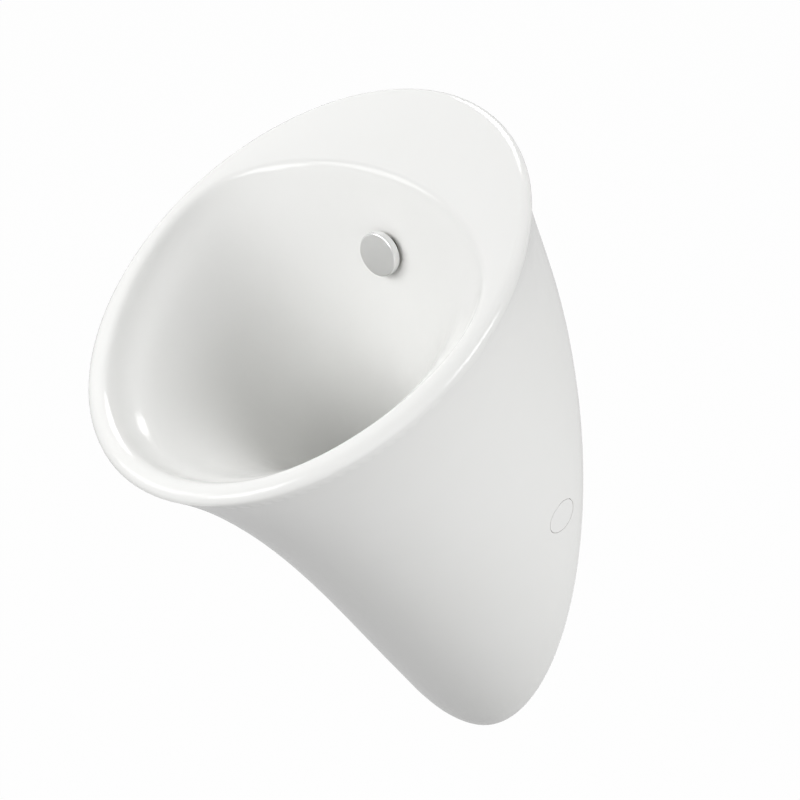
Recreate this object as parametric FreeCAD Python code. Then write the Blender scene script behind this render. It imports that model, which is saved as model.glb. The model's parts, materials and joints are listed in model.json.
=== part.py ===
import FreeCAD, Part
import math
import os

Vector = FreeCAD.Vector

# Wall-hung urinal. Millimetres and degrees, +Z up.
# The wall is the plane y = 0, the mouth faces -Y, and the two wall fixings lie on the line z = 0.

# Outer form of the ceramic body
depth = 350.0
rim_width = 300.0
rim_tilt = 28.4
rim_round = 7.0
rim_top_setback = 17.5
lip_drop = 121.0
foot_drop = 294.0
foot_setback = 9.8
belly_clearance = 6.4
belly_drop = 6.0
back_width = 240.0
back_top_height = 251.0
ceramic_wall = 12.0

# Bowl
mouth_front_land = 8.8
mouth_back_land = 80.0
mouth_side_land = 8.3
mouth_round = 9.0
mouth_flare = 14.0
mouth_flare_depth = 22.0
mouth_side_flare = 9.0
drain_setback = 100.0
drain_rise = 282.0
floor_radius = 29.5

# Spray head on the back wall of the bowl
spray_seat = 98.0
spray_boss = 14.0
spray_seat_depth = 1.0
spray_boss_radius = 24.0
spray_cap_radius = 17.0
spray_cap_thickness = 6.4
spray_cap_bevel = 1.2
stem_radius = 8.0
collar_radius = 11.0
collar_thickness = 1.5
port_length = 1.7
port_width = 4.0
spigot_radius = 5.0
spigot_length = 4.8
tail_radius = 9.0
tail_length = 33.0
water_radius = 4.5
front_gasket_thickness = 1.0
front_gasket_radius = 12.0
rear_gasket_thickness = 2.0
rear_gasket_radius = 17.0
cap_seal_thickness = 0.8
spray_washer_thickness = 1.5
spray_nut_flats = 27.0
spray_nut_length = 7.0

# Rubber sleeve to the supply nipple
sleeve_radius = 15.5
sleeve_wall_gap = 3.0
sleeve_grip = 16.0
sleeve_web = 4.0
sleeve_roof_gap = 2.0
supply_bore_radius = 10.6
clamp_thickness = 0.9
clamp_width = 8.0
clamp_box_length = 12.0
clamp_box_height = 6.0

# Waste fitting and strainer
waste_flange_radius = 28.5
waste_flange_thickness = 2.5
waste_tail_radius = 21.0
waste_tail_length = 45.5
waste_bore_radius = 17.0
waste_gasket_thickness = 1.0
lower_gasket_thickness = 2.5
lower_gasket_radius = 30.0
waste_washer_thickness = 1.5
waste_nut_flats = 52.0
waste_nut_length = 8.0
drain_boss_radius = 36.0
strainer_radius = 21.0
strainer_thickness = 1.5
strainer_hole_radius = 2.2
strainer_skirt_radius = 16.4
strainer_skirt_wall = 1.2
strainer_skirt_length = 8.0
strainer_knob_radius = 4.0
strainer_knob_height = 6.0

# Trap
pipe_radius = 16.0
pipe_wall = 2.0
trap_leg_length = 39.5
trap_rise = 15.0
outlet_rise = 33.0
outlet_straight = 5.0
trap_seal_thickness = 2.0
trap_flange_thickness = 3.0
trap_nut_wall = 4.0
trap_nut_lip = 3.0
trap_nut_grip = 10.0
union_thread_radius = 19.0
union_nut_wall = 4.0
plug_radius = 9.0
plug_boss_radius = 12.5
plug_boss_drop = 3.0
plug_seal_thickness = 1.5
plug_depth = 8.0
plug_head_flats = 22.0
plug_head_length = 5.0

# Outlet elbow and its socket for the waste pipe
socket_bore_radius = 25.3
socket_wall = 5.7
socket_base = 3.0
socket_length = 27.0
socket_wall_gap = 2.0
lip_seal_width = 6.0
lip_seal_thickness = 2.7
lip_seal_setback = 8.0

# Side fixings
fixing_setback = 35.0
fixing_boss_radius = 20.0
fixing_boss_depth = 23.9
side_recess_depth = 15.9
side_cap_radius = 14.4
side_cap_wall = 2.0
side_cap_crown = 6.6
bush_radius = 10.4
bush_bore_radius = 4.3
bush_flange_radius = 11.6
bush_flange_thickness = 2.0
fixing_washer_radius = 8.0
fixing_washer_thickness = 1.6
screw_radius = 4.0
screw_head_flats = 13.0
screw_head_length = 5.3
screw_length = 26.6
fixing_nut_flats = 13.0
fixing_nut_length = 6.5

# Wall brackets
bracket_plate = 4.0
bracket_bolt_edge = 18.0
bracket_height = 60.0
bracket_arm_height = 44.0
bracket_arm_edge = 17.0
bracket_fillet = 3.0
wall_bolt_spacing = 160.0
wall_bolt_radius = 4.5

# Fits and working values
fit_gap = 0.1
hole_gap = 1.0
groove_gap = 0.4
rest_gap = 0.3
thread_gap = 0.05
overrun = 5.0

# Upper control points of the skirt's front profile: shares of the depth and of the fall from lip to foot
profile_depth_shares = (0.881, 0.676)
profile_fall_shares = (0.069, 0.232)
# How far the skirt has narrowed from the rim's half width to the back's, from mouth to wall
narrowing_shares = (0.0, 0.507, 0.819, 0.769, 1.0)
# Inner skin of the skirt: control points moved in by these shares of the wall
skin_back_shares = (2.2, 0.75, 0.7, 0.85, 0.0, 0.0)
skin_up_shares = (-0.1, 0.8, 0.75, 0.6, 1.3, 1.3)
roof_forward_share = 1.35
roof_down_share = 1.9
roof_back_down_share = 1.5
# Bowl: points of the front wall between rim and drain, shares of the run and of the fall
bowl_run_shares = (0.27, 0.52, 0.73, 0.89)
bowl_fall_shares = (0.15, 0.33, 0.57, 0.82)
# Bowl: points of the back wall between spray seat and drain, and the widths down to the drain
bowl_back_run_shares = (0.1, 0.8)
bowl_back_fall_shares = (0.5, 0.78)
bowl_width_shares = (0.64, 0.31, 0.13)
bowl_skin_out_share = 0.7
bowl_skin_under_share = 0.75

oval_points = 32
fan_sections = 13
rim_turn_angles = (0, 18, 36, 54, 72, 90)
mouth_turn_angles = (0, 18, 36, 54)
strainer_ring_counts = (6, 12)
strainer_ring_shares = (0.36, 0.72)
port_count = 4
flute_count = 12
hexagon_sides = 6


# Geometry helpers

def rod(start, direction, length, radius):
    return Part.makeCylinder(radius, length, start, direction)


def ring(start, direction, length, outer, inner):
    bore_start = start - direction * overrun
    bore = rod(bore_start, direction, length + 2 * overrun, inner)
    return rod(start, direction, length, outer).cut(bore)


def hexagon(start, direction, length, flats):
    corner = flats / math.sqrt(3)
    turn = FreeCAD.Rotation(Vector(0, 0, 1), direction)
    points = []
    for i in range(hexagon_sides + 1):
        angle = 2 * math.pi * i / hexagon_sides
        flat_point = Vector(corner * math.cos(angle), corner * math.sin(angle), 0)
        points.append(start + turn.multVec(flat_point))
    return Part.Face(Part.makePolygon(points)).extrude(direction * length)


def hex_ring(start, direction, length, flats, inner):
    bore_start = start - direction * overrun
    bore = rod(bore_start, direction, length + 2 * overrun, inner)
    return hexagon(start, direction, length, flats).cut(bore)


def block(low, high):
    size = high - low
    return Part.makeBox(size.x, size.y, size.z, low)


def drawn_path(points):
    """Clamped cubic curve over 0 to 1 that is drawn towards its points."""
    degree = 3
    spans = len(points) - degree
    knots = [i / spans for i in range(spans + 1)]
    mults = [degree + 1] + [1] * (spans - 1) + [degree + 1]
    curve = Part.BSplineCurve()
    curve.buildFromPolesMultsKnots(points, mults, knots, False, degree)
    return curve


def through_path(points):
    """Smooth curve over 0 to 1 that passes through its points."""
    runs = [0.0]
    for i in range(1, len(points)):
        runs.append(runs[-1] + points[i].distanceToPoint(points[i - 1]))
    curve = Part.BSplineCurve()
    curve.interpolate(Points=points, Parameters=[run / runs[-1] for run in runs])
    return curve


def oval(back, front, half_width, waist):
    """Closed oval about the line from back to front, widest at the waist, a share of the way back."""
    run = back - front
    centre = front + run * waist
    lead = run * (waist - 0.5)
    points = []
    for i in range(oval_points + 1):
        angle = 2 * math.pi * i / oval_points
        cosine = math.cos(angle)
        reach = run * 0.5 - lead * (1.5 - 0.5 * cosine ** 2) * cosine
        side = Vector(half_width * math.sin(angle), 0, 0)
        points.append(centre + reach * cosine + side)
    steps = [i / oval_points for i in range(oval_points + 1)]
    heading = Vector(2 * math.pi * half_width, 0, 0)
    ends = {"InitialTangent": heading, "FinalTangent": heading, "Scale": False}
    curve = Part.BSplineCurve()
    curve.interpolate(Points=points, Parameters=steps, **ends)
    return curve


def fan(back_path, front_path, width_path, waist):
    """Ovals that swing from the mouth to the far end of the paths, where they are plain ellipses."""
    ovals = []
    for i in range(fan_sections):
        t = i / (fan_sections - 1)
        back = back_path.value(t)
        front = front_path.value(t)
        ovals.append(oval(back, front, width_path.value(t).x, waist + (0.5 - waist) * t))
    return ovals


def skin_over(ovals):
    """Smooth face over a row of ovals."""
    rows = [curve.getPoles() for curve in ovals]
    runs = [0.0]
    for before, after in zip(rows, rows[1:]):
        moves = [a.distanceToPoint(b) for a, b in zip(before, after)]
        runs.append(runs[-1] + sum(moves) / len(moves))
    steps = [run / runs[-1] for run in runs]
    strips = []
    for strip_points in zip(*rows):
        strip = Part.BSplineCurve()
        strip.interpolate(Points=list(strip_points), Parameters=steps)
        strips.append(strip)
    around = ovals[0]
    along = strips[0]
    poles = [strip.getPoles() for strip in strips]
    mults = (around.getMultiplicities(), along.getMultiplicities())
    knots = (around.getKnots(), along.getKnots())
    surface = Part.BSplineSurface()
    surface.buildFromPolesMultsKnots(poles, *mults, *knots, False, False, around.Degree, along.Degree)
    return surface.toShape()


def flat_inside(*ovals):
    """Flat face inside the first oval and outside the others."""
    return Part.makeFace([Part.Wire(curve.toShape()) for curve in ovals], "Part::FaceMakerBullseye")


def sewn(faces):
    shell = Part.Shell(faces)
    shell.sewShape()
    solid = Part.Solid(shell)
    if solid.Volume < 0:
        solid.reverse()
    return solid


def closed_skin(ovals):
    return sewn([skin_over(ovals), flat_inside(ovals[0]), flat_inside(ovals[-1])])


def straight_path(start, end):
    return Part.BSplineCurve([start, end], [2, 2], [0.0, 1.0], False, 1)


def width_curve(values):
    return drawn_path([Vector(value, 0, 0) for value in values])


# Levels down the drain axis

drain_height = drain_rise - foot_drop
flange_under = drain_height + waste_gasket_thickness
flange_top = flange_under + waste_flange_thickness
floor_under = drain_height - ceramic_wall
lower_gasket_under = floor_under - lower_gasket_thickness
waste_washer_under = lower_gasket_under - waste_washer_thickness
waste_tail_end = flange_under - waste_tail_length
trap_seal_under = waste_tail_end - trap_seal_thickness
trap_flange_under = trap_seal_under - trap_flange_thickness
trap_nut_under = trap_flange_under - trap_nut_lip
trap_nut_top = waste_tail_end + trap_nut_grip
trap_turn_height = trap_seal_under - trap_leg_length


# The mouth plane

tilt = math.radians(rim_tilt)
mouth_up = Vector(0, math.cos(tilt), math.sin(tilt))
mouth_normal = Vector(0, -math.sin(tilt), math.cos(tilt))
rim_length = (depth - rim_top_setback) / math.cos(tilt)
lip_height = back_top_height - lip_drop
lip = Vector(0, -depth, lip_height)


def on_mouth(distance):
    return lip + mouth_up * distance


# Ceramic body

rim_top = on_mouth(rim_length)
fall = lip_height + foot_drop
rim_half = rim_width / 2
back_half = back_width / 2
profile = [lip]
for depth_share, fall_share in zip(profile_depth_shares, profile_fall_shares):
    profile.append(Vector(0, -depth * depth_share, lip_height - fall * fall_share))
belly_setback = drain_setback + pipe_radius + belly_clearance + ceramic_wall
profile.append(Vector(0, -belly_setback, trap_turn_height - belly_drop))
profile.append(Vector(0, -foot_setback, -foot_drop))
profile.append(Vector(0, 0, -foot_drop))
skirt_halves = [rim_half - (rim_half - back_half) * share for share in narrowing_shares]
back_top = Vector(0, 0, back_top_height)

spray_height = back_top_height - ceramic_wall * roof_back_down_share - sleeve_roof_gap - sleeve_radius
land = mouth_normal * rim_round
mouth_run = rim_length - mouth_front_land - mouth_back_land
mouth_waist = (rim_length / 2 - mouth_front_land) / mouth_run
drain = Vector(0, -drain_setback, drain_height)
drain_back = drain + Vector(0, floor_radius, 0)
drain_front = drain - Vector(0, floor_radius, 0)
spray = Vector(0, -spray_seat, spray_height)
forward = Vector(0, -1, 0)
rearward = Vector(0, 1, 0)
down = Vector(0, 0, -1)
up = Vector(0, 0, 1)


def rim_roll():
    """Ovals of the rounded rim, from the widest line of the body up to the flat land."""
    ovals = []
    for turn in rim_turn_angles:
        angle = math.radians(turn)
        inset = rim_round * (1 - math.cos(angle))
        lift = mouth_normal * rim_round * math.sin(angle)
        back = on_mouth(rim_length - inset) + lift
        ovals.append(oval(back, on_mouth(inset) + lift, rim_half - inset, 0.5))
    return ovals


def skirt_outside():
    back_path = straight_path(rim_top, back_top)
    return fan(back_path, drawn_path(profile), width_curve(skirt_halves), 0.5)


def skirt_inside():
    """The inner skin of the skirt, run out past the wall so that the back is open."""
    skin = []
    for point, back_share, up_share in zip(profile, skin_back_shares, skin_up_shares):
        skin.append(point + Vector(0, ceramic_wall * back_share, ceramic_wall * up_share))
    skin[-1] += rearward * overrun
    roof_drop = Vector(0, -ceramic_wall * roof_forward_share, -ceramic_wall * roof_down_share)
    roof_front = rim_top + roof_drop
    roof_back = back_top + Vector(0, overrun, -ceramic_wall * roof_back_down_share)
    widths = width_curve([half - ceramic_wall for half in skirt_halves])
    return fan(straight_path(roof_front, roof_back), drawn_path(skin), widths, 0.5)


def mouth_turn(turn, skin):
    """Back, front and half width of the mouth's flare where it has turned so far, sunk by the skin."""
    angle = math.radians(turn)
    across = math.sin(angle)
    sunk = mouth_normal * (1 - math.cos(angle))
    level = land - mouth_normal * skin * math.cos(angle)
    back_run = rim_length - mouth_back_land - (mouth_round - skin) * across
    back = on_mouth(back_run) + level - sunk * mouth_round
    front = on_mouth(mouth_front_land + (mouth_flare - skin) * across) + level - sunk * mouth_flare_depth
    return back, front, rim_half - mouth_side_land - (mouth_side_flare - skin) * across


def bowl_form(skin):
    """The bowl from the end of the mouth's rounding to the drain, grown outwards by the skin."""
    mouth_back, mouth_front, mouth_half = mouth_turn(mouth_turn_angles[-1], 0)
    run = drain_front - mouth_front
    front = [mouth_front]
    for run_share, fall_share in zip(bowl_run_shares, bowl_fall_shares):
        front.append(mouth_front + Vector(0, run.y * run_share, run.z * fall_share))
    front.append(drain_front)
    slope = drain_back - spray
    back = [mouth_back, spray + forward * spray_seat_depth]
    for run_share, fall_share in zip(bowl_back_run_shares, bowl_back_fall_shares):
        back.append(spray + Vector(0, slope.y * run_share, slope.z * fall_share))
    back.append(drain_back)
    halves = [mouth_half]
    for share in bowl_width_shares:
        halves.append(floor_radius + (mouth_half - floor_radius) * share)
    halves.append(floor_radius)
    out = forward * skin * bowl_skin_out_share
    under = down * skin * bowl_skin_under_share
    front_shift = [out + under] * (len(front) - 1) + [out + down * skin]
    back_shift = [rearward * skin] * (len(back) - 1) + [(rearward + down) * skin]
    front = [point + shift for point, shift in zip(front, front_shift)]
    back = [point + shift for point, shift in zip(back, back_shift)]
    widths = width_curve([half + skin for half in halves])
    return fan(through_path(back), through_path(front), widths, mouth_waist)


def bowl(skin):
    ovals = []
    for turn in mouth_turn_angles[:-1]:
        ovals.append(oval(*mouth_turn(turn, skin), mouth_waist))
    return ovals + bowl_form(skin)


def fixing_point(side, reach):
    return Vector(side * reach, -fixing_setback, 0)


skirt_form = closed_skin(skirt_outside())
skirt_face = skirt_form.common(Part.makeLine(fixing_point(1, 0), fixing_point(1, rim_width))).Length
fixing_boss_in = skirt_face - fixing_boss_depth
recess_floor = skirt_face - side_recess_depth


def fixing_boss(side):
    length = rim_half - fixing_boss_in
    return rod(fixing_point(side, fixing_boss_in), Vector(side, 0, 0), length, fixing_boss_radius)


def fixing_hole(side):
    out = Vector(side, 0, 0)
    hole_start = fixing_point(side, fixing_boss_in - overrun)
    hole_length = recess_floor - fixing_boss_in + 2 * overrun
    hole = rod(hole_start, out, hole_length, bush_radius + fit_gap)
    recess_start = fixing_point(side, recess_floor)
    recess = rod(recess_start, out, rim_half - recess_floor, side_cap_radius + groove_gap)
    return hole.fuse(recess)


def ceramic_body():
    skirt = skirt_outside()
    roll = rim_roll()
    basin = bowl(0)
    faces = [skin_over(skirt), skin_over(roll), skin_over(basin)]
    faces += [flat_inside(skirt[-1]), flat_inside(roll[-1], basin[0]), flat_inside(basin[-1])]
    kept = closed_skin(bowl(ceramic_wall))
    kept = kept.fuse(rod(spray, rearward, spray_boss, spray_boss_radius))
    kept = kept.fuse(rod(drain, down, ceramic_wall, drain_boss_radius))
    for side in (1, -1):
        kept = kept.fuse(fixing_boss(side))
    body = sewn(faces).cut(closed_skin(skirt_inside()).cut(kept))
    spot_face = rod(spray, forward, overrun, front_gasket_radius + hole_gap)
    spray_length = spray_boss + 2 * overrun
    spray_hole = rod(spray + forward * overrun, rearward, spray_length, tail_radius + hole_gap)
    drain_length = ceramic_wall + 2 * overrun
    drain_hole = rod(drain + up * overrun, down, drain_length, waste_tail_radius + hole_gap)
    for hole in (spot_face.fuse(spray_hole), drain_hole, fixing_hole(1), fixing_hole(-1)):
        body = body.cut(hole)
    return body


# Spray head: distances forward and rearward of the seat on the ceramic

collar_front = front_gasket_thickness + collar_thickness
shoulder_front = collar_front + port_length
cap_back = shoulder_front + cap_seal_thickness
ceramic_back = spray + rearward * spray_boss
rear_gasket_back = ceramic_back + rearward * rear_gasket_thickness
spray_washer_back = rear_gasket_back + rearward * spray_washer_thickness
tail_end = ceramic_back + rearward * tail_length


def spray_cap():
    start = spray + forward * cap_back
    disc = rod(start, forward, spray_cap_thickness, spray_cap_radius)
    rims = [edge for edge in disc.Edges if edge.Curve.TypeId == "Part::GeomCircle"]
    disc = disc.makeFillet(spray_cap_bevel, rims)
    socket_depth = spigot_length - cap_seal_thickness + rest_gap
    hole_start = start + rearward * overrun
    return disc.cut(rod(hole_start, forward, overrun + socket_depth, spigot_radius + thread_gap))


def spray_cap_seal():
    start = spray + forward * shoulder_front
    return ring(start, forward, cap_seal_thickness, stem_radius, spigot_radius + fit_gap)


def spray_nozzle():
    collar_back = spray + forward * front_gasket_thickness
    collar = rod(collar_back, forward, collar_thickness, collar_radius)
    stem = rod(collar_back, forward, collar_thickness + port_length, stem_radius)
    spigot = rod(spray + forward * shoulder_front, forward, spigot_length, spigot_radius)
    tail = rod(collar_back, rearward, tail_end.y - collar_back.y, tail_radius)
    nozzle = collar.fuse([stem, spigot, tail])
    water_length = (tail_end.y - spray.y) + collar_front + port_length / 2
    water = rod(tail_end + rearward * overrun, forward, water_length + overrun, water_radius)
    cuts = [water]
    for i in range(port_count):
        port = block(
            Vector(-port_width / 2, -port_length / 4, 0),
            Vector(port_width / 2, port_length / 4, stem_radius + overrun),
        )
        port.rotate(Vector(0, 0, 0), Vector(0, 1, 0), 360 * i / port_count + 180 / port_count)
        port.translate(spray + forward * (collar_front + port_length / 2))
        cuts.append(port)
    return nozzle.cut(cuts)


def nozzle_front_gasket():
    return ring(spray, forward, front_gasket_thickness, front_gasket_radius, tail_radius + fit_gap)


def nozzle_rear_gasket():
    return ring(ceramic_back, rearward, rear_gasket_thickness, rear_gasket_radius, tail_radius + fit_gap)


def nozzle_washer():
    radius = rear_gasket_radius - hole_gap
    return ring(rear_gasket_back, rearward, spray_washer_thickness, radius, tail_radius + fit_gap)


def nozzle_nut():
    inner = tail_radius + thread_gap
    return hex_ring(spray_washer_back, rearward, spray_nut_length, spray_nut_flats, inner)


sleeve_back = Vector(0, -sleeve_wall_gap, spray_height)
grip_floor = tail_end + rearward * hole_gap
sleeve_front = grip_floor + forward * sleeve_grip
supply_bore_length = sleeve_back.y - grip_floor.y - sleeve_web


def inlet_connector():
    sleeve = rod(sleeve_back, forward, sleeve_back.y - sleeve_front.y, sleeve_radius)
    supply_start = sleeve_back + rearward * overrun
    supply = rod(supply_start, forward, supply_bore_length + overrun, supply_bore_radius)
    grip_start = sleeve_front + forward * overrun
    grip = rod(grip_start, rearward, sleeve_grip + overrun, tail_radius + thread_gap)
    water = rod(sleeve_back, forward, supply_bore_length + sleeve_web + overrun, water_radius)
    return sleeve.cut([supply, grip, water])


def inlet_clamp():
    start = sleeve_front + rearward * (sleeve_grip - clamp_width) / 2
    inner = sleeve_radius + thread_gap
    band = rod(start, rearward, clamp_width, sleeve_radius + clamp_thickness)
    sleeve_under = spray_height - sleeve_radius
    low = Vector(-clamp_box_length / 2, start.y, sleeve_under - clamp_box_height)
    high = Vector(clamp_box_length / 2, start.y + clamp_width, sleeve_under + clamp_thickness)
    inside = rod(start + forward * overrun, rearward, clamp_width + 2 * overrun, inner)
    return band.fuse(block(low, high)).cut(inside)


# Waste fitting and strainer

def on_drain(height):
    return Vector(0, -drain_setback, height)


def waste_fitting():
    flange = rod(on_drain(flange_top), down, waste_flange_thickness, waste_flange_radius)
    flange = flange.makeFillet(waste_flange_thickness / 2, flange.Edges[:1])
    tail = rod(on_drain(flange_under), down, waste_tail_length, waste_tail_radius)
    bore_length = waste_flange_thickness + waste_tail_length + 2 * overrun
    bore = rod(on_drain(flange_top + overrun), down, bore_length, waste_bore_radius)
    seat = rod(on_drain(flange_top - strainer_thickness), up, overrun, strainer_radius + groove_gap)
    return flange.fuse(tail).cut([bore, seat])


def waste_upper_gasket():
    outer = waste_flange_radius - hole_gap
    return ring(on_drain(drain_height), up, waste_gasket_thickness, outer, waste_tail_radius + fit_gap)


def waste_lower_gasket():
    inner = waste_tail_radius + fit_gap
    return ring(on_drain(floor_under), down, lower_gasket_thickness, lower_gasket_radius, inner)


def waste_washer():
    outer = lower_gasket_radius - hole_gap
    start = on_drain(lower_gasket_under)
    return ring(start, down, waste_washer_thickness, outer, waste_tail_radius + fit_gap)


def waste_nut():
    start = on_drain(waste_washer_under)
    return hex_ring(start, down, waste_nut_length, waste_nut_flats, waste_tail_radius + thread_gap)


def strainer():
    plate_under = flange_top - strainer_thickness
    plate = rod(on_drain(plate_under), up, strainer_thickness, strainer_radius)
    skirt_inner = strainer_skirt_radius - strainer_skirt_wall
    skirt = ring(on_drain(plate_under), down, strainer_skirt_length, strainer_skirt_radius, skirt_inner)
    holes = []
    hole_length = strainer_thickness + 2 * overrun
    for count, place_share in zip(strainer_ring_counts, strainer_ring_shares):
        for i in range(count):
            angle = 2 * math.pi * i / count
            reach = skirt_inner * place_share
            place = on_drain(plate_under - overrun)
            place += Vector(reach * math.cos(angle), reach * math.sin(angle), 0)
            holes.append(rod(place, up, hole_length, strainer_hole_radius))
    knob = rod(on_drain(flange_top), up, strainer_knob_height, strainer_knob_radius)
    knob = knob.makeFillet(strainer_knob_radius / 2, knob.Edges[:1])
    return plate.cut(holes).fuse([skirt, knob])


# Trap: legs down from the drain and up again behind it

trap_run = drain_setback - socket_wall_gap - socket_length - outlet_straight
trap_turn_radius = trap_run / 3
first_leg = -drain_setback
second_leg = first_leg + 2 * trap_turn_radius
trap_leg_end = trap_turn_height + trap_rise
outlet_height = trap_leg_end + outlet_rise
elbow_start = outlet_height - trap_turn_radius
union_seal_top = trap_leg_end + trap_seal_thickness
union_flange_top = union_seal_top + trap_flange_thickness
union_nut_top = union_flange_top + trap_nut_lip
union_nut_under = trap_leg_end - trap_nut_grip
turn_centre = Vector(0, first_leg + trap_turn_radius, trap_turn_height)
turn_bottom = trap_turn_height - trap_turn_radius
plug_boss_under = turn_bottom - pipe_radius - plug_boss_drop


def swept(points_and_arcs, radius):
    path = Part.Wire(points_and_arcs)
    start = path.Edges[0].valueAt(path.Edges[0].FirstParameter)
    heading = path.Edges[0].tangentAt(path.Edges[0].FirstParameter)
    circle = Part.Wire(Part.makeCircle(radius, start, heading))
    return path.makePipeShell([circle], True, False)


def trap_path(extra):
    top = Vector(0, first_leg, trap_seal_under + extra)
    turn_in = Vector(0, first_leg, trap_turn_height)
    turn_low = Vector(0, turn_centre.y, turn_bottom)
    turn_out = Vector(0, second_leg, trap_turn_height)
    end = Vector(0, second_leg, trap_leg_end + extra)
    turn = Part.Arc(turn_in, turn_low, turn_out).toShape()
    return [Part.makeLine(top, turn_in), turn, Part.makeLine(turn_out, end)]


def trap_bend():
    outer = swept(trap_path(0), pipe_radius)
    flange = rod(on_drain(trap_flange_under), up, trap_flange_thickness, waste_tail_radius - fit_gap)
    thread_start = Vector(0, second_leg, trap_leg_end - trap_nut_grip)
    thread = rod(thread_start, up, trap_nut_grip, union_thread_radius)
    boss_start = Vector(0, turn_centre.y, plug_boss_under)
    boss_length = turn_bottom - plug_boss_under
    boss = rod(boss_start, up, boss_length, plug_boss_radius)
    hole_start = boss_start + down * overrun
    plug_hole = rod(hole_start, up, boss_length + overrun, plug_radius + thread_gap)
    bore = swept(trap_path(overrun), pipe_radius - pipe_wall)
    return outer.fuse([flange, thread, boss]).cut([bore, plug_hole])


def cleaning_plug_seal():
    start = Vector(0, turn_centre.y, plug_boss_under)
    return ring(start, down, plug_seal_thickness, plug_boss_radius, plug_radius + fit_gap)


def cleaning_plug():
    head_top = Vector(0, turn_centre.y, plug_boss_under - plug_seal_thickness)
    head = hexagon(head_top, down, plug_head_length, plug_head_flats)
    return head.fuse(rod(head_top, up, plug_seal_thickness + plug_depth, plug_radius))


def trap_inlet_seal():
    outer = waste_tail_radius - fit_gap
    return ring(on_drain(trap_seal_under), up, trap_seal_thickness, outer, waste_bore_radius)


def grip_nut(top, length, lip_under, thread_radius, wall, axis_setback):
    """Round nut with a thread bore and a lip that holds a flange against a seal."""
    start = Vector(0, axis_setback, top)
    nut = rod(start, down, length, thread_radius + wall)
    lip_bore = rod(start + up * overrun, down, length + 2 * overrun, pipe_radius + fit_gap)
    thread_bore = rod(start + up * overrun, down, length - lip_under + overrun, thread_radius + thread_gap)
    flutes = []
    for i in range(flute_count):
        angle = 2 * math.pi * i / flute_count
        reach = thread_radius + wall + wall / 4
        place = start + Vector(reach * math.cos(angle), reach * math.sin(angle), 0)
        flutes.append(rod(place + up * overrun, down, length + 2 * overrun, wall / 2))
    return nut.cut([lip_bore, thread_bore] + flutes)


def trap_inlet_nut():
    length = trap_nut_top - trap_nut_under
    return grip_nut(trap_nut_top, length, trap_nut_lip, waste_tail_radius, trap_nut_wall, first_leg)


def trap_union_nut():
    length = union_nut_top - union_nut_under
    nut = grip_nut(union_nut_top, length, trap_nut_lip, union_thread_radius, union_nut_wall, second_leg)
    middle = Vector(0, second_leg, (union_nut_top + union_nut_under) / 2)
    nut.rotate(middle, Vector(1, 0, 0), 180)
    return nut


def trap_union_seal():
    start = Vector(0, second_leg, trap_leg_end)
    return ring(start, up, trap_seal_thickness, union_thread_radius - fit_gap, pipe_radius - pipe_wall)


socket_mouth = Vector(0, -socket_wall_gap, outlet_height)
socket_floor = socket_mouth + forward * socket_length
socket_front = socket_floor + forward * socket_base
elbow_end = Vector(0, second_leg + trap_turn_radius, outlet_height)
lip_seal_start = socket_mouth + forward * lip_seal_setback


def elbow_path(extra):
    start = Vector(0, second_leg, union_seal_top - extra)
    turn_in = Vector(0, second_leg, elbow_start)
    lean = trap_turn_radius * math.sqrt(0.5)
    turn_middle = Vector(0, elbow_end.y - lean, elbow_start + lean)
    turn = Part.Arc(turn_in, turn_middle, elbow_end).toShape()
    return [Part.makeLine(start, turn_in), turn, Part.makeLine(elbow_end, socket_floor)]


def outlet_elbow():
    outer = swept(elbow_path(0), pipe_radius)
    flange_start = Vector(0, second_leg, union_seal_top)
    flange = rod(flange_start, up, trap_flange_thickness, union_thread_radius - fit_gap)
    cup = rod(socket_front, rearward, socket_base + socket_length, socket_bore_radius + socket_wall)
    bore = swept(elbow_path(overrun), pipe_radius - pipe_wall)
    pipe_bore = rod(socket_floor, rearward, socket_length + overrun, socket_bore_radius)
    groove = rod(lip_seal_start, forward, lip_seal_width, socket_bore_radius + lip_seal_thickness)
    return outer.fuse([flange, cup]).cut([bore, pipe_bore, groove])


def outlet_lip_seal():
    outer = socket_bore_radius + lip_seal_thickness - thread_gap
    start = lip_seal_start + forward * thread_gap
    return ring(start, forward, lip_seal_width - 2 * thread_gap, outer, socket_bore_radius)


# Side fixings: places along X, mirrored left and right

bush_flange_out = recess_floor + bush_flange_thickness
washer_out = bush_flange_out + fixing_washer_thickness
bracket_arm_in = fixing_boss_in - bracket_plate
bolt_place = wall_bolt_spacing / 2


def side_cap(side):
    out = Vector(side, 0, 0)
    rim_start = recess_floor + rest_gap
    plug = rod(fixing_point(side, rim_start), out, rim_half - rim_start, side_cap_radius)
    hollow_start = fixing_point(side, rim_start - overrun)
    hollow_length = skirt_face - side_cap_crown - rim_start + overrun
    hollow = rod(hollow_start, out, hollow_length, side_cap_radius - side_cap_wall)
    return plug.common(skirt_form).cut(hollow)


def fixing_bush(side):
    out = Vector(side, 0, 0)
    flange = rod(fixing_point(side, recess_floor), out, bush_flange_thickness, bush_flange_radius)
    sleeve_length = recess_floor - fixing_boss_in
    sleeve = rod(fixing_point(side, fixing_boss_in), out, sleeve_length, bush_radius)
    bore_length = sleeve_length + bush_flange_thickness + 2 * overrun
    bore = rod(fixing_point(side, fixing_boss_in - overrun), out, bore_length, bush_bore_radius)
    return flange.fuse(sleeve).cut(bore)


def fixing_washer(side):
    start = fixing_point(side, bush_flange_out)
    out = Vector(side, 0, 0)
    return ring(start, out, fixing_washer_thickness, fixing_washer_radius, bush_bore_radius)


def fixing_screw(side):
    start = fixing_point(side, washer_out)
    head = hexagon(start, Vector(side, 0, 0), screw_head_length, screw_head_flats)
    return head.fuse(rod(start, Vector(-side, 0, 0), screw_length, screw_radius))


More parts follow.
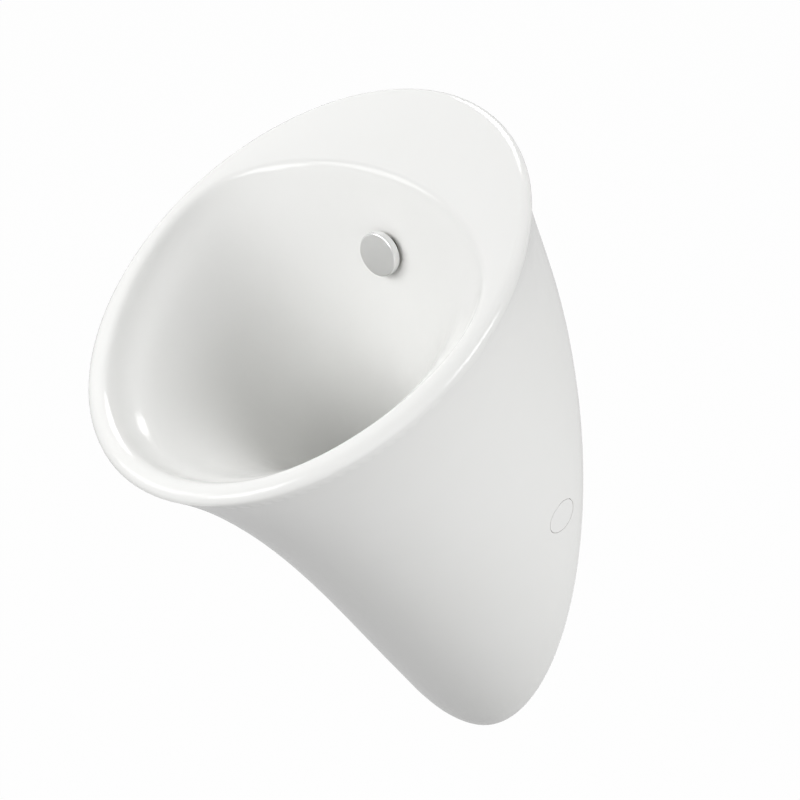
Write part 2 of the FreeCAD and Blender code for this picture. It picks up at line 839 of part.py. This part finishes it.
def fixing_nut(side):
    start = fixing_point(side, bracket_arm_in)
    inward = Vector(-side, 0, 0)
    return hex_ring(start, inward, fixing_nut_length, fixing_nut_flats, screw_radius + thread_gap)


def wall_bracket(side):
    half_height = bracket_height / 2
    half_arm = bracket_arm_height / 2
    inner_edge = bolt_place - bracket_bolt_edge
    arm_front = -fixing_setback - bracket_arm_edge
    plate_low = Vector(inner_edge, -bracket_plate, -half_height)
    plate = block(plate_low, Vector(fixing_boss_in, 0, half_height))
    arm_low = Vector(bracket_arm_in, arm_front, -half_arm)
    arm = block(arm_low, Vector(fixing_boss_in, 0, half_arm))
    hole_length = bracket_plate + 2 * overrun
    wall_hole = rod(Vector(bolt_place, overrun, 0), forward, hole_length, wall_bolt_radius)
    screw_start = fixing_point(1, bracket_arm_in - overrun)
    screw_hole = rod(screw_start, Vector(1, 0, 0), hole_length, bush_bore_radius)
    bracket = plate.fuse(arm).removeSplitter()
    corner = []
    for edge in bracket.Edges:
        box = edge.BoundBox
        upright = box.XLength + box.YLength < fit_gap
        inner = abs(box.XMin - bracket_arm_in) < fit_gap and abs(box.YMin + bracket_plate) < fit_gap
        if upright and inner:
            corner.append(edge)
    bracket = bracket.makeFillet(bracket_fillet, corner).cut([wall_hole, screw_hole])
    if side < 0:
        bracket = bracket.mirror(Vector(0, 0, 0), Vector(1, 0, 0))
    return bracket


# Every piece, by the name of its node

pieces = {
    "ceramic_body": ceramic_body(),
    "spray_cap": spray_cap(),
    "spray_cap_seal": spray_cap_seal(),
    "spray_nozzle": spray_nozzle(),
    "nozzle_front_gasket": nozzle_front_gasket(),
    "nozzle_rear_gasket": nozzle_rear_gasket(),
    "nozzle_washer": nozzle_washer(),
    "nozzle_nut": nozzle_nut(),
    "inlet_connector": inlet_connector(),
    "inlet_clamp": inlet_clamp(),
    "strainer": strainer(),
    "waste_fitting": waste_fitting(),
    "waste_upper_gasket": waste_upper_gasket(),
    "waste_lower_gasket": waste_lower_gasket(),
    "waste_washer": waste_washer(),
    "waste_nut": waste_nut(),
    "trap_inlet_nut": trap_inlet_nut(),
    "trap_inlet_seal": trap_inlet_seal(),
    "trap_bend": trap_bend(),
    "cleaning_plug": cleaning_plug(),
    "cleaning_plug_seal": cleaning_plug_seal(),
    "trap_union_nut": trap_union_nut(),
    "trap_union_seal": trap_union_seal(),
    "outlet_elbow": outlet_elbow(),
    "outlet_lip_seal": outlet_lip_seal(),
}
for side, hand in ((1, "right"), (-1, "left")):
    pieces["wall_bracket_" + hand] = wall_bracket(side)
    pieces["fixing_bush_" + hand] = fixing_bush(side)
    pieces["fixing_washer_" + hand] = fixing_washer(side)
    pieces["fixing_screw_" + hand] = fixing_screw(side)
    pieces["fixing_nut_" + hand] = fixing_nut(side)
    pieces["side_cap_" + hand] = side_cap(side)

os.makedirs("parts", exist_ok=True)
for name, shape in pieces.items():
    if len(shape.Solids) == 1:
        shape = shape.Solids[0]
    box = shape.BoundBox
    size = [round(value, 1) for value in (box.XLength, box.YLength, box.ZLength)]
    print(name, len(shape.Solids), shape.isValid(), round(shape.Volume, 1), size)
    shape.exportStep("parts/" + name + ".step")
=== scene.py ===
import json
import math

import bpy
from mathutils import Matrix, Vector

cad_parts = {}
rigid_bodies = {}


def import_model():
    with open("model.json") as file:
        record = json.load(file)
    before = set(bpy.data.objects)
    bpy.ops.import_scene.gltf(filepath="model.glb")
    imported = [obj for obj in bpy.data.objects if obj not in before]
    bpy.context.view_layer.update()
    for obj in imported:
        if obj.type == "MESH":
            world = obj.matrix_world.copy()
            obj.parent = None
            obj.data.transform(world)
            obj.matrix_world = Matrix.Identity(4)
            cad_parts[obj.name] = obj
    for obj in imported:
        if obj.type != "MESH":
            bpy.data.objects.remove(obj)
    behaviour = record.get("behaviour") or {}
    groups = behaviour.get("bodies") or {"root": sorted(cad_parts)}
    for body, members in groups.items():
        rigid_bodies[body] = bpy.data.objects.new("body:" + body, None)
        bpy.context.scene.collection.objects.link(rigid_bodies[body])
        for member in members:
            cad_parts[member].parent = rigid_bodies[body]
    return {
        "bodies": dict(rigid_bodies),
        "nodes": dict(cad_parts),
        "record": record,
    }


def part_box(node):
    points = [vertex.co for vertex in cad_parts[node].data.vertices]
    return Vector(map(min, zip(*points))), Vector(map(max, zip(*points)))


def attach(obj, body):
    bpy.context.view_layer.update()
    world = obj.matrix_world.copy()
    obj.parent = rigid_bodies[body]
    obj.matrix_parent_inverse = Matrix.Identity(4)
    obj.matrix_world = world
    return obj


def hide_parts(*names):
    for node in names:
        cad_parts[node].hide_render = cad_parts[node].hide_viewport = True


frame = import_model()

# %% [markdown]
# # A wall-hung urinal, dressed in Blender
#
# The imported solids are the fixed frame: every length already has its real size, in metres, with
# the wall at y = 0, the mouth towards -Y and the fixing line at z = 0. This lesson gives each
# piece the finish of the real one, adds the small forms that a casting or a fitting has, and sets
# the light and the camera. A new Blender file holds a cube, a lamp and a camera, so those go
# first.


kept = set(frame["nodes"].values()) | set(frame["bodies"].values())
for thing in [o for o in bpy.data.objects if o not in kept]:
    bpy.data.objects.remove(thing)
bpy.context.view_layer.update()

# %% [markdown]
# ## Shader maths as plain expressions
#
# Glaze, plating and rubber all vary a little over their surface, and that variation is arithmetic
# on noise. It could be wired by hand, node by node, but then the idea is lost among the links. One
# small class wraps a node's output instead, so `1 - mask * 0.3` adds the Math nodes by itself, and
# one method adds any other node from its type, its settings and its sockets.

# %% The wire class
class Wire:
    """One output of a shader node, so that shader maths reads as a Python expression."""

    def __init__(self, socket):
        self.socket = socket

    @staticmethod
    def node(tree, kind, settings=(), sockets=(), out=0):
        made = tree.nodes.new(kind)
        for name, value in dict(settings).items():
            setattr(made, name, value)
        for key, value in dict(sockets).items():
            if isinstance(value, Wire):
                tree.links.new(value.socket, made.inputs[key])
            else:
                made.inputs[key].default_value = value
        return Wire(made.outputs[out])

    def math(self, operation, first, second):
        sockets = {0: first, 1: second}
        return Wire.node(self.socket.id_data, "ShaderNodeMath", {"operation": operation}, sockets)

    def __add__(self, other):
        return self.math("ADD", self, other)

    def __radd__(self, other):
        return self.math("ADD", other, self)

    def __sub__(self, other):
        return self.math("SUBTRACT", self, other)

    def __rsub__(self, other):
        return self.math("SUBTRACT", other, self)

    def __mul__(self, other):
        return self.math("MULTIPLY", self, other)

    def __rmul__(self, other):
        return self.math("MULTIPLY", other, self)

    def __abs__(self):
        return self.math("ABSOLUTE", self, 0)

    def larger(self, other):
        return self.math("MAXIMUM", self, other)


print("wire class ready")

# %% [markdown]
# ## What every finish shares
#
# A finish here is a Principled shader with a colour that drifts between two close tones, a
# roughness that drifts with it and, on most, a fine bump. Each could be wired from nothing, but
# with a few helpers a finish shows only what sets it apart. All patterns read Object coordinates,
# which are metres in the frame, so a grain of 1 mm is 1 mm on every piece. Values that are the
# same all over are set on the shader's own sockets.

# %% Helpers for finishes
mix_share, mix_first, mix_second, mix_colour = 0, 6, 7, 2


def new_finish(name):
    finish = bpy.data.materials.new(name)
    finish.use_nodes = True
    finish.node_tree.nodes.clear()
    return finish, finish.node_tree


def place_on(tree, stretch=(1, 1, 1)):
    spot = Wire.node(tree, "ShaderNodeTexCoord", out="Object")
    return Wire.node(tree, "ShaderNodeMapping", {}, {"Vector": spot, "Scale": stretch})


def noise(tree, spot, scale, detail=3.0):
    sockets = {"Vector": spot, "Scale": scale, "Detail": detail}
    return Wire.node(tree, "ShaderNodeTexNoise", {}, sockets)


def drift(tree, mask, first, second):
    sockets = {mix_share: mask, mix_first: (*first, 1), mix_second: (*second, 1)}
    return Wire.node(tree, "ShaderNodeMix", {"data_type": "RGBA"}, sockets, out=mix_colour)


def bump(tree, height, depth, strength):
    sockets = {"Height": height, "Distance": depth, "Strength": strength}
    return Wire.node(tree, "ShaderNodeBump", {}, sockets)


def close_finish(tree, sockets):
    surface = Wire.node(tree, "ShaderNodeBsdfPrincipled", {}, sockets)
    end = tree.nodes.new("ShaderNodeOutputMaterial")
    tree.links.new(surface.socket, end.inputs["Surface"])


print("finish helpers ready")

# %% [markdown]
# ## White glaze
#
# The body is vitreous china under a thick white glaze. A glaze flows before it sets, so its face
# is glossy but not flat: it has long, very shallow waves and a trace of warmth where it lies thin.
# Paint would be a single colour; two close whites and a shallow bump are nearer to it.

# %% Glaze
glaze, tree = new_finish("glaze")
spot = place_on(tree)
cloud = noise(tree, spot, scale=9.0)
wave = noise(tree, spot, scale=38.0, detail=1.0)
close_finish(tree, {
    "Base Color": drift(tree, cloud, (0.79, 0.792, 0.775), (0.82, 0.82, 0.81)),
    "Roughness": 0.1 + cloud * 0.06,
    "Specular IOR Level": 0.33,
    "Normal": bump(tree, wave, depth=0.0004, strength=0.1),
})
print("glaze:", len(tree.nodes), "nodes")

# %% [markdown]
# ## Bare clay
#
# The back edge stands on a kiln shelf and the hollow behind the bowl is out of reach of the spray
# gun, so both stay unglazed: a dull, slightly warm, grainy white. A duller glaze would still look
# wet there, so bare clay is a finish of its own, with a grain of about a millimetre and no gloss.

# %% Bare clay
bare_clay, tree = new_finish("bare_clay")
spot = place_on(tree)
cloud = noise(tree, spot, scale=14.0)
grain = noise(tree, spot, scale=900.0, detail=2.0)
mottle = cloud * 0.7 + grain * 0.3
close_finish(tree, {
    "Base Color": drift(tree, mottle, (0.66, 0.63, 0.58), (0.76, 0.73, 0.68)),
    "Roughness": 0.75 + grain * 0.2,
    "Normal": bump(tree, grain, depth=0.0004, strength=0.5),
})
print("bare clay:", len(tree.nodes), "nodes")

# %% [markdown]
# ## Plated and turned metals
#
# The spray disc and the waste fitting are chromed, the nozzle and the two back nuts are turned
# brass, the brackets, screws and washers are zinc plated, and the strainer is brushed stainless
# steel. One metal in four colours would be quicker, but what tells them apart is less the colour
# than the way that the gloss breaks up: even on chrome, lathe marks on brass, crystals on zinc,
# long scratches on brushed steel. A noise that is stretched along one axis gives the marks and the
# scratches.

# %% Chrome and brass
chrome, tree = new_finish("chrome")
spot = place_on(tree)
smear = noise(tree, spot, scale=60.0)
close_finish(tree, {
    "Base Color": drift(tree, smear, (0.83, 0.835, 0.835), (0.87, 0.87, 0.865)),
    "Metallic": 1.0,
    "Roughness": 0.24 + smear * 0.1,
})

brass, tree = new_finish("turned_brass")
spot = place_on(tree)
tarnish = noise(tree, spot, scale=45.0)
lathe = noise(tree, place_on(tree, stretch=(60, 2600, 2600)), scale=1.0, detail=1.0)
close_finish(tree, {
    "Base Color": drift(tree, tarnish, (0.55, 0.37, 0.14), (0.78, 0.58, 0.27)),
    "Metallic": 1.0,
    "Roughness": 0.22 + tarnish * 0.2,
    "Normal": bump(tree, lathe, depth=0.00005, strength=0.4),
})
print("chrome and brass ready")

# %% Zinc and brushed steel
zinc, tree = new_finish("zinc_plate")
spot = place_on(tree)
crystal = Wire.node(tree, "ShaderNodeTexVoronoi", {}, {"Vector": spot, "Scale": 240.0})
film = noise(tree, spot, scale=30.0)
mottle = crystal * 0.6 + film * 0.4
close_finish(tree, {
    "Base Color": drift(tree, mottle, (0.50, 0.51, 0.53), (0.68, 0.69, 0.69)),
    "Metallic": 1.0,
    "Roughness": 0.3 + crystal * 0.2,
})

brushed, tree = new_finish("brushed_steel")
scratch = noise(tree, place_on(tree, stretch=(30, 2200, 2200)), scale=1.0, detail=2.0)
close_finish(tree, {
    "Base Color": drift(tree, scratch, (0.54, 0.54, 0.54), (0.68, 0.68, 0.675)),
    "Metallic": 1.0,
    "Roughness": 0.24 + scratch * 0.16,
    "Normal": bump(tree, scratch, depth=0.00004, strength=0.4),
})
print("zinc and brushed steel ready")

# %% [markdown]
# ## Rubber and plastics
#
# Gaskets and the inlet sleeve are black rubber with a dusty bloom. The trap is a moulded white
# plastic with a satin, faintly pebbled skin and the fine raised line of the two mould halves down
# its middle. The bushes are natural nylon, and the side caps are glossy and coloured to match the
# glaze. The mould line could be a strip of its own, but it stands up by a fraction of a millimetre,
# so a bump where x is near 0 is enough.

# %% Rubber and trap plastic
rubber, tree = new_finish("black_rubber")
spot = place_on(tree)
bloom = noise(tree, spot, scale=70.0)
close_finish(tree, {
    "Base Color": drift(tree, bloom, (0.016, 0.016, 0.017), (0.045, 0.045, 0.046)),
    "Roughness": 0.55 + bloom * 0.3,
    "Normal": bump(tree, noise(tree, spot, scale=1500.0), depth=0.0001, strength=0.3),
})

trap_plastic, tree = new_finish("trap_plastic")
spot = place_on(tree)
flow = noise(tree, spot, scale=24.0)
off_seam = abs(Wire.node(tree, "ShaderNodeSeparateXYZ", {}, {0: spot}, out="X"))
seam_edges = {"Value": off_seam, "From Min": 0.0001, "From Max": 0.0004}
seam = 1 - Wire.node(tree, "ShaderNodeMapRange", {}, seam_edges)
skin = noise(tree, spot, scale=1400.0) * 0.2 + seam
close_finish(tree, {
    "Base Color": drift(tree, flow, (0.70, 0.70, 0.68), (0.78, 0.78, 0.765)),
    "Roughness": 0.36 + flow * 0.14,
    "Normal": bump(tree, skin, depth=0.0003, strength=0.4),
})
print("rubber and trap plastic ready")

# %% Nylon and cap plastic
nylon, tree = new_finish("natural_nylon")
spot = place_on(tree)
flow = noise(tree, spot, scale=90.0)
close_finish(tree, {
    "Base Color": drift(tree, flow, (0.66, 0.63, 0.55), (0.74, 0.72, 0.65)),
    "Roughness": 0.42 + flow * 0.15,
})

cap_plastic, tree = new_finish("cap_plastic")
spot = place_on(tree)
flow = noise(tree, spot, scale=20.0)
close_finish(tree, {
    "Base Color": drift(tree, flow, (0.79, 0.79, 0.78), (0.83, 0.83, 0.82)),
    "Roughness": 0.12 + flow * 0.06,
})
print("nylon and cap plastic ready")

# %% [markdown]
# ## Dress the solids
#
# Each solid that already has its true shape stays, with its finish in its material slot. The
# pieces could be dressed one by one, but the record names a slot for every node, so one table from
# slot to finish dresses them all, and none is left out.

# %% Finishes by slot
finish_of = {
    "ceramic_glaze": glaze,
    "cap_plastic": cap_plastic,
    "chrome": chrome,
    "brass": brass,
    "rubber": rubber,
    "zinc_steel": zinc,
    "strainer_steel": brushed,
    "trap_plastic": trap_plastic,
    "bush_nylon": nylon,
}
for subpart in frame["record"]["subparts"]:
    node = frame["nodes"][subpart["node"]]
    node.data.materials.clear()
    node.data.materials.append(finish_of[subpart["material_slot"]])

# %% [markdown]
# ## The casting: glaze outside, bare clay behind
#
# One casting carries two finishes, and the border between them is an edge of the form: the glaze
# covers what a user sees, from the skirt over the rim to the floor of the bowl, and stops at the
# back edge. Two separate meshes would leave a seam, so a merged copy of the solid takes two
# material slots instead. Its smooth shading breaks only at real edges, and a selection that spreads
# from the lip up to those edges is the glazed side. The flat back edge is hidden first, so that the
# selection can't creep round it into the hollow, and the floor of the bowl and the seat of the
# spray head are picked by their place.

# %% Merge a copy of the casting
merge_distance = 0.000005
casting_crease = math.radians(32)
bpy.ops.object.select_all(action="DESELECT")
solid = frame["nodes"]["ceramic_body"]
solid.select_set(True)
bpy.context.view_layer.objects.active = solid
bpy.ops.object.duplicate()
casting = bpy.context.object
casting.name = "glazed_casting"
bpy.ops.object.mode_set(mode="EDIT")
bpy.ops.mesh.select_all(action="SELECT")
bpy.ops.mesh.remove_doubles(threshold=merge_distance)
bpy.ops.mesh.customdata_custom_splitnormals_clear()
bpy.ops.object.mode_set(mode="OBJECT")
bpy.ops.object.shade_smooth_by_angle(angle=casting_crease)
print("casting:", len(casting.data.vertices), "corners,", len(casting.data.polygons), "faces")

# %% Helpers that pick faces by place and direction
lip_depth = 0.004
lip_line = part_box("ceramic_body")[0].y + lip_depth
bowl_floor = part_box("waste_upper_gasket")[0].z
spray_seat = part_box("nozzle_front_gasket")[1].y
touching = 0.00005
square_on, facing = 0.99, 0.9


def select_faces(piece, wanted):
    bpy.ops.object.mode_set(mode="EDIT")
    bpy.ops.mesh.select_mode(type="FACE")
    bpy.ops.mesh.select_all(action="DESELECT")
    bpy.ops.object.mode_set(mode="OBJECT")
    for face in piece.data.polygons:
        face.select = wanted(face)
    bpy.ops.object.mode_set(mode="EDIT")


def on_wall(face):
    return face.center.y > -touching and face.normal.y > square_on


def starts_glaze(face):
    on_floor = abs(face.center.z - bowl_floor) < touching and face.normal.z > facing
    on_seat = abs(face.center.y - spray_seat) < touching and face.normal.y < -facing
    return face.center.y < lip_line or on_floor or on_seat


print("lip up to y =", round(lip_line, 4), "bowl floor at z =", round(bowl_floor, 4))

# %% Give the hollow and the back edge bare clay
casting.data.materials.clear()
casting.data.materials.append(glaze)
casting.data.materials.append(bare_clay)
select_faces(casting, on_wall)
bpy.ops.mesh.hide()
select_faces(casting, starts_glaze)
bpy.ops.mesh.select_linked(delimit={"SHARP"})
bpy.ops.mesh.select_all(action="INVERT")
bpy.ops.mesh.reveal()
casting.active_material_index = 1
bpy.ops.object.material_slot_assign()
bpy.ops.mesh.select_all(action="DESELECT")
bpy.ops.object.mode_set(mode="OBJECT")
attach(casting, "body")
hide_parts("ceramic_body")
print("bare faces:", sum(face.material_index for face in casting.data.polygons))

# %% [markdown]
# ## Threads where a tail shows
#
# The solids have plain tails, because a thread is held by its nut and needs no shape to be held.
# What shows between a nut and the next piece is still a thread, so a ridge winds round each bare
# length. A bump could suggest it, but the outline would stay smooth. A small diamond turned round
# an axis by a Screw modifier, with a rise of one pitch for each turn, is the real form. Its middle
# lies inside the tail, and it is a little lower than one pitch, so that no turn touches the next.

# %% Helper for threads
half_ridge_in_pitches = 0.47
sunk_in_pitches = 1 / 5
steps_in_turn = 40
ridge_merge_distance = 0.000001
ridge_crease = math.radians(40)


def wind_thread(name, start, end, radius, pitch, finish):
    run = Vector(end) - Vector(start)
    turns = int(run.length / pitch) - 1
    bpy.ops.object.select_all(action="DESELECT")
    bpy.ops.mesh.primitive_circle_add(
        vertices=4, radius=pitch * half_ridge_in_pitches, rotation=(math.pi / 2, 0, 0),
        location=(radius - pitch * sunk_in_pitches, 0, 0))
    ridge = bpy.context.object
    ridge.name = name
    bpy.ops.object.transform_apply(location=True, rotation=True)
    bpy.ops.object.modifier_add(type="SCREW")
    winding = ridge.modifiers[-1]
    winding.screw_offset = pitch
    winding.iterations = turns
    winding.steps = winding.render_steps = steps_in_turn
    bpy.ops.object.modifier_apply(modifier=winding.name)
    bpy.ops.object.mode_set(mode="EDIT")
    bpy.ops.mesh.select_all(action="SELECT")
    bpy.ops.mesh.remove_doubles(threshold=ridge_merge_distance)
    bpy.ops.mesh.fill_holes(sides=4)
    bpy.ops.mesh.normals_make_consistent(inside=False)
    bpy.ops.object.mode_set(mode="OBJECT")
    ridge.rotation_euler = run.to_track_quat("Z", "Y").to_euler()
    spare = (run.length - turns * pitch) / 2
    ridge.location = Vector(start) + run.normalized() * spare
    bpy.ops.object.transform_apply(location=True, rotation=True)
    bpy.ops.object.shade_smooth_by_angle(angle=ridge_crease)
    ridge.data.materials.append(finish)
    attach(ridge, "body")
    print(name, "turns", turns, "faces", len(ridge.data.polygons))


print("thread helper ready")

# %% Threads on the spray nozzle and the waste fitting
nozzle_tail_radius, nozzle_pitch = 0.009, 0.0018
waste_tail_radius, waste_pitch = 0.021, 0.0023


def middle(node):
    return [(low + high) / 2 for low, high in zip(*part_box(node))]


spray_height = middle("nozzle_nut")[2]
nut_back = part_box("nozzle_nut")[1].y
sleeve_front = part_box("inlet_connector")[0].y
wind_thread("nozzle_thread", (0, nut_back, spray_height), (0, sleeve_front, spray_height),
            nozzle_tail_radius, nozzle_pitch, brass)

drain_y = middle("waste_nut")[1]
waste_nut_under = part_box("waste_nut")[0].z
trap_nut_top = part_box("trap_inlet_nut")[1].z
wind_thread("waste_thread", (0, drain_y, waste_nut_under), (0, drain_y, trap_nut_top),
            waste_tail_radius, waste_pitch, chrome)

# %% Threads on the fixing screws
screw_radius, screw_pitch = 0.004, 0.00125


def inner_end(node):
    return min(abs(corner.x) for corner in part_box(node))


for hand, side in (("right", 1), ("left", -1)):
    screw_y = middle("fixing_nut_" + hand)[1]
    nut_end = inner_end("fixing_nut_" + hand) * side
    screw_end = inner_end("fixing_screw_" + hand) * side
    wind_thread("fixing_thread_" + hand, (nut_end, screw_y, 0), (screw_end, screw_y, 0),
                screw_radius, screw_pitch, zinc)

# %% [markdown]
# ## The screw of the sleeve clamp
#
# The clamp's band is drawn tight by a worm screw that lies in its housing. The solid has the band
# and the housing. A plain round pin would mark the screw's place, but a key needs something to
# grip, so the head is a six-sided bar: its end face is inset and pushed in for the key, and a bevel
# takes the sharpness off the edges.

# %% Clamp screw
housing_half, screw_above_housing_foot = 0.006, 0.0033
head_length, head_radius, head_sunk = 0.005, 0.0028, 0.0005
key_wall, key_depth = 0.0009, 0.002
softened_edge, head_crease = 0.0002, math.radians(35)
head_middle = (housing_half + head_length / 2 - head_sunk, middle("inlet_clamp")[1],
               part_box("inlet_clamp")[0].z + screw_above_housing_foot)
bpy.ops.object.select_all(action="DESELECT")
bpy.ops.mesh.primitive_cylinder_add(vertices=6, radius=head_radius, depth=head_length,
                                    location=head_middle, rotation=(0, math.pi / 2, 0))
clamp_screw = bpy.context.object
clamp_screw.name = "clamp_screw"
bpy.ops.object.transform_apply(location=True, rotation=True)
select_faces(clamp_screw, lambda face: face.normal.x > facing)
bpy.ops.mesh.inset(thickness=key_wall)
bpy.ops.mesh.extrude_region_move(TRANSFORM_OT_translate={"value": (-key_depth, 0, 0)})
bpy.ops.object.mode_set(mode="OBJECT")
bpy.ops.object.modifier_add(type="BEVEL")
edge_break = clamp_screw.modifiers[-1]
edge_break.width = softened_edge
edge_break.segments = 2
edge_break.limit_method = "ANGLE"
bpy.ops.object.modifier_apply(modifier=edge_break.name)
bpy.ops.object.shade_smooth_by_angle(angle=head_crease)
clamp_screw.data.materials.append(zinc)
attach(clamp_screw, "body")
print("clamp screw:", len(clamp_screw.data.polygons), "faces")

# %% [markdown]
# ## The floor and the background
#
# The urinal hangs on a wall, so the floor lies well below it, at the height that brings the lip to
# about 65 cm. The background of a catalogue picture is white. More light would whiten a grey floor,
# but it would burn out the object too. So the world and the floor are white to the camera, about
# half as bright in reflections, as a studio's far walls are, and give the object only a plain level
# of light. From underneath, the floor is clear, so that the foot can be looked at.

# %% Floor
floor_height, floor_size = -0.52, 14
floor_grey = (0.31, 0.31, 0.31, 1)
plain_white = (1, 1, 1, 1)
white_share = 0.985
reflected_level = 0.46


def seen_white(tree):
    camera_ray, gloss_ray, glass_ray = [
        Wire.node(tree, "ShaderNodeLightPath", out=name)
        for name in ("Is Camera Ray", "Is Glossy Ray", "Is Transmission Ray")]
    return camera_ray.larger(gloss_ray.larger(glass_ray) * reflected_level)


bpy.ops.object.select_all(action="DESELECT")
bpy.ops.mesh.primitive_plane_add(size=floor_size, location=(0, 0, floor_height))
floor = bpy.context.object
floor.name = "studio_floor"
pale, tree = new_finish("pale_floor")
share = seen_white(tree) * white_share
matte = Wire.node(tree, "ShaderNodeBsdfDiffuse", {}, {"Color": floor_grey})
white = Wire.node(tree, "ShaderNodeEmission", {}, {"Color": plain_white, "Strength": 1.0})
above = Wire.node(tree, "ShaderNodeMixShader", {}, {0: share, 1: matte, 2: white})
underneath = Wire.node(tree, "ShaderNodeNewGeometry", out="Backfacing")
clear = Wire.node(tree, "ShaderNodeBsdfTransparent")
mixed = Wire.node(tree, "ShaderNodeMixShader", {}, {0: underneath, 1: above, 2: clear})
tree.links.new(mixed.socket, tree.nodes.new("ShaderNodeOutputMaterial").inputs["Surface"])
floor.data.materials.append(pale)
print("floor at", floor_height)

# %% World
fill_level = 0.26
world = bpy.data.worlds.new("white_room")
bpy.context.scene.world = world
world.use_nodes = True
tree = world.node_tree
tree.nodes.clear()
strength = fill_level + seen_white(tree) * (1 - fill_level)
sky = Wire.node(tree, "ShaderNodeBackground", {}, {"Color": plain_white, "Strength": strength})
tree.links.new(sky.socket, tree.nodes.new("ShaderNodeOutputWorld").inputs["Surface"])
print("world fill", fill_level)

# %% [markdown]
# ## The lamps
#
# A white glossy form shows its shape only by soft differences of tone. One lamp would leave half of
# it flat, so the light comes from several wide lamps two metres away: one in front and above, one
# in front to the left, one high behind the left side that draws the top of the rim, and two low on
# the right that model the skirt. Each is placed by its turn about the object and its rise above the
# fixing line, as on a studio plan. The spray disc would throw the last lamp as a stray spot onto
# the bowl's left wall, so that lamp stays out of gloss.

# %% Lamps
aim = Vector((0, -0.15, 0.05))
lamp_distance = 2.0
lamp_size = 1.0


def direction(turn, rise):
    turn, rise = math.radians(turn), math.radians(rise)
    across = math.cos(rise)
    return Vector((math.sin(turn) * across, -math.cos(turn) * across, math.sin(rise)))


def soft_lamp(name, turn, rise, power, in_gloss=True):
    place = direction(turn, rise) * lamp_distance
    bpy.ops.object.light_add(type="AREA", location=place)
    lamp = bpy.context.object
    lamp.name = name
    lamp.rotation_euler = (aim - place).to_track_quat("-Z", "Y").to_euler()
    lamp.data.shape = "DISK"
    lamp.data.size = lamp_size
    lamp.data.energy = power
    lamp.visible_glossy = in_gloss
    print(name, "turn", turn, "rise", rise, "power", power)


soft_lamp("lamp_front", turn=0, rise=30, power=16)
soft_lamp("lamp_front_left", turn=-35, rise=30, power=10.3)
soft_lamp("lamp_back_left", turn=-150, rise=55, power=24.5)
soft_lamp("lamp_low_right", turn=110, rise=5, power=17)
soft_lamp("lamp_low_front_right", turn=70, rise=5, power=11.3, in_gloss=False)

# %% [markdown]
# ## The camera
#
# The picture was taken from the right and above, from about a metre and a half, with a longish
# lens. The camera could be moved by hand until the picture fits, but its place was worked out from
# the outline, the rim, the spray disc and the side cap instead. It looks straight along its line,
# without roll.

# %% Camera
camera_place = (0.85537, -1.10136, 0.88231)
camera_turn, camera_rise = 40.03, 31.12
bpy.ops.object.camera_add(location=camera_place)
camera = bpy.context.object
camera.name = "catalogue_camera"
camera.rotation_euler = (-direction(camera_turn, camera_rise)).to_track_quat("-Z", "Y").to_euler()
camera.data.lens = 90
camera.data.sensor_width = 36
bpy.context.scene.camera = camera
bpy.context.scene.view_settings.view_transform = "Standard"
print("camera at", camera_place, "lens", camera.data.lens)
